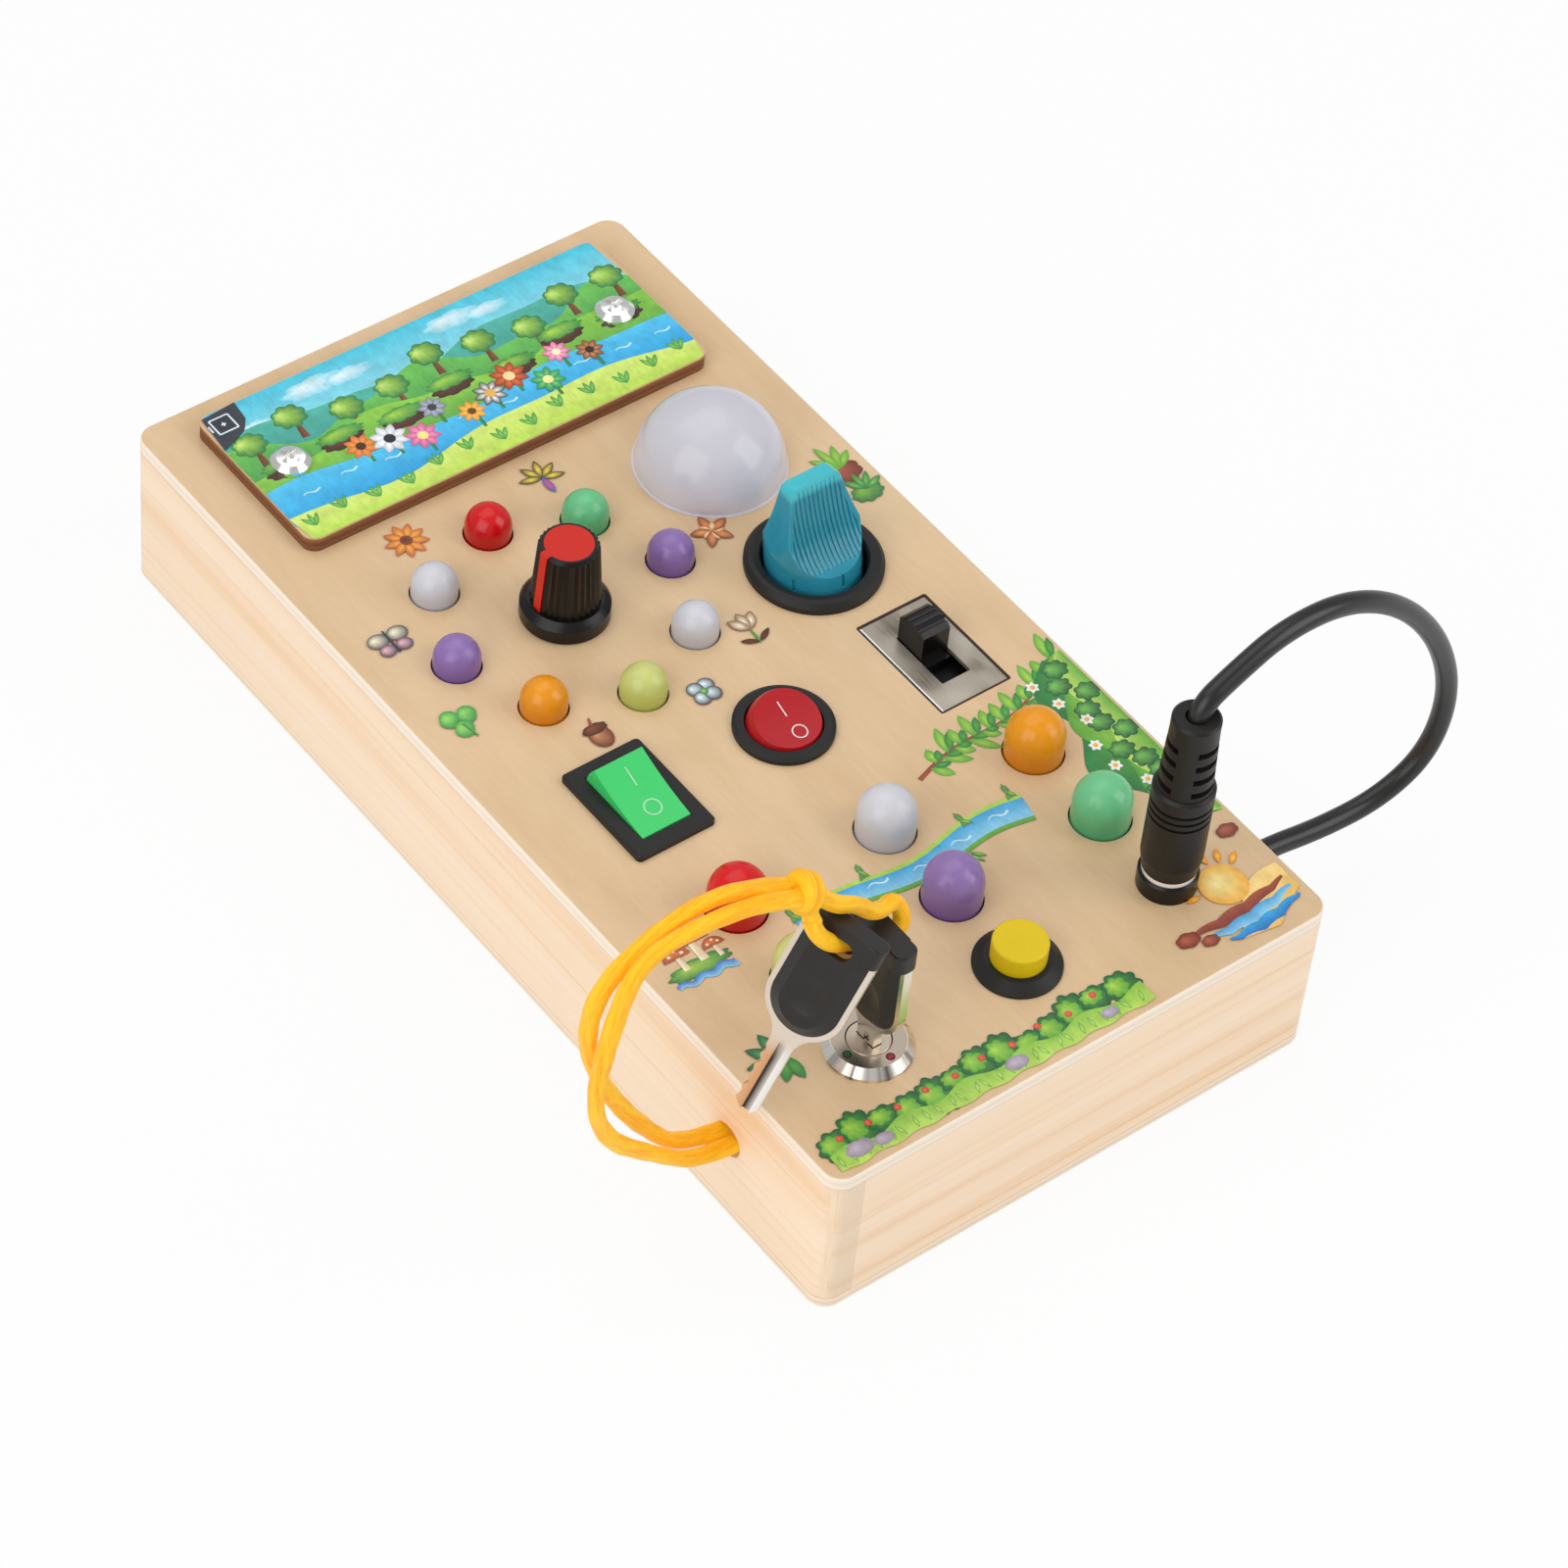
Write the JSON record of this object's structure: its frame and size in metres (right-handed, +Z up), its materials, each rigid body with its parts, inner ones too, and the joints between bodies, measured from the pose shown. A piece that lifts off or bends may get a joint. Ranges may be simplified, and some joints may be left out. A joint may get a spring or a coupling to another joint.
{
  "type": "wooden busy board",
  "caption": "Flat wooden box with lamps, a rotary knob, toggle, slide, rocker and push switches, a key lock with corded keys and a patch lead.",
  "frame": {"origin": "middle of the box's underside", "axes": "+X to the side the patch lead leaves, +Y to the battery end, +Z up out of the switch face"},
  "size_m": [0.1788, 0.193, 0.0853],
  "materials": {
    "plywood": "satin, fine straight grain",
    "pine": "satin, open grain",
    "cover_ply": "printed face, dark cut edge",
    "screw_steel": "polished",
    "nickel": "polished",
    "sheet_steel": "fine brushed",
    "spring_steel": "drawn wire",
    "brass_nickel": "plain",
    "black_abs": "fine satin",
    "black_gloss": "gloss",
    "soft_black": "satin",
    "tray_black": "matte",
    "cell_wrap": "gloss wrap",
    "board_green": "solder mask",
    "red_lamp": "diffusing gloss",
    "orange_lamp": "diffusing gloss",
    "mint_lamp": "diffusing gloss",
    "purple_lamp": "diffusing gloss",
    "white_lamp": "diffusing gloss",
    "lime_lamp": "diffusing gloss",
    "dome_white": "diffusing gloss",
    "knob_red": "satin",
    "lens_blue": "ribbed, translucent",
    "rocker_red": "gloss",
    "rocker_green": "gloss",
    "cap_yellow": "satin",
    "cord_yellow": "satin braid",
    "cable_black": "satin"
  },
  "bodies": {
    "case": {"base_panel": "plywood", "rail_left": "pine", "rail_right": "pine", "rail_back": "pine", "rail_front": "pine", "top_panel": "plywood", "battery_holder": "tray_black", "battery_contacts": "spring_steel", "batteries": "cell_wrap", "ring_lamp_1": "red_lamp", "ring_lamp_2": "mint_lamp", "ring_lamp_3": "purple_lamp", "ring_lamp_4": "white_lamp", "ring_lamp_5": "lime_lamp", "ring_lamp_6": "orange_lamp", "ring_lamp_7": "purple_lamp", "ring_lamp_8": "white_lamp", "grid_lamp_1": "orange_lamp", "grid_lamp_2": "mint_lamp", "grid_lamp_3": "white_lamp", "grid_lamp_4": "purple_lamp", "grid_lamp_5": "red_lamp", "grid_lamp_6": "lime_lamp", "circuit_boards": "board_green", "lamp_dome": "dome_white", "pot_body": "sheet_steel", "pot_nut": "brass_nickel", "toggle_housing": "black_abs", "slide_frame": "sheet_steel", "slide_base": "tray_black", "round_rocker_housing": "black_abs", "rect_rocker_housing": "black_abs", "push_bezel": "black_gloss", "push_spring": "spring_steel", "push_nut": "tray_black", "lock_bezel": "nickel", "lock_nut": "brass_nickel", "dc_jack": "black_gloss", "dc_cable": "cable_black", "key_cord_outer": "cord_yellow", "key_cord_inner": "cord_yellow"},
    "cover": {"battery_cover": "cover_ply", "cover_screws": "screw_steel"},
    "knob": {"pot_shaft": "brass_nickel", "knob_body": "black_abs", "knob_cap": "knob_red"},
    "toggle": {"toggle_lens": "lens_blue"},
    "slider": {"slide_actuator": "black_gloss"},
    "round_rocker": {"round_rocker_button": "rocker_red"},
    "rect_rocker": {"rect_rocker_button": "rocker_green"},
    "push": {"push_cap": "cap_yellow"},
    "lock": {"lock_core": "nickel"},
    "key_set": {"cord_knot": "cord_yellow", "key_loop": "cord_yellow", "spare_key_blade": "nickel", "spare_key_head": "black_gloss"},
    "key": {"key_blade": "nickel", "key_head": "black_gloss"},
    "plug": {"dc_plug": "soft_black", "dc_plug_barrel": "nickel"}
  },
  "joints": [
    {"name": "cover_lift", "type": "slide", "parent": "case", "child": "cover", "axis": [0, 0, 1], "range_m": [0, 0.03]},
    {"name": "knob_turn", "type": "hinge", "parent": "case", "child": "knob", "pos_m": [-0.0138, 0.0231, 0.032], "axis": [0, 0, 1], "range_deg": [-240, 60]},
    {"name": "toggle_tilt", "type": "hinge", "parent": "case", "child": "toggle", "pos_m": [0.0273, 0.0093, 0.0308], "axis": [1, 0, 0], "range_deg": [0, 20]},
    {"name": "slide_switch", "type": "slide", "parent": "case", "child": "slider", "axis": [0, 1, 0], "range_m": [-0.0058, 0]},
    {"name": "round_rocker_tilt", "type": "hinge", "parent": "case", "child": "round_rocker", "pos_m": [0.0007, -0.01716, 0.0319], "axis": [1, 0, 0], "range_deg": [-30, 0]},
    {"name": "rect_rocker_tilt", "type": "hinge", "parent": "case", "child": "rect_rocker", "pos_m": [-0.0286, -0.01716, 0.0319], "axis": [1, 0, 0], "range_deg": [-30, 0]},
    {"name": "push_press", "type": "slide", "parent": "case", "child": "push", "axis": [0, 0, -1], "range_m": [0, 0.002], "stiffness_N_per_m": 400, "deforming": ["push_spring"]},
    {"name": "key_pull", "type": "slide", "parent": "case", "child": "key_set", "axis": [0, 0, 1], "range_m": [0, 0.018], "deforming": ["key_cord_outer", "key_cord_inner"]},
    {"name": "key_turn", "type": "hinge", "parent": "key_set", "child": "key", "pos_m": [-0.0291, -0.07739, 0.037], "axis": [0, 0, -1], "range_deg": [0, 90], "deforming": ["key_loop"]},
    {"name": "lock_turn", "type": "hinge", "parent": "case", "child": "lock", "pos_m": [-0.0291, -0.07739, 0.032], "axis": [0, 0, -1], "range_deg": [0, 90]},
    {"name": "plug_pull", "type": "slide", "parent": "case", "child": "plug", "axis": [0, 0, 1], "range_m": [0, 0.012], "deforming": ["dc_cable"]}
  ],
  "couplings": [
    {"joint": "lock_turn", "follows": "key_turn", "ratio": 1}
  ]
}
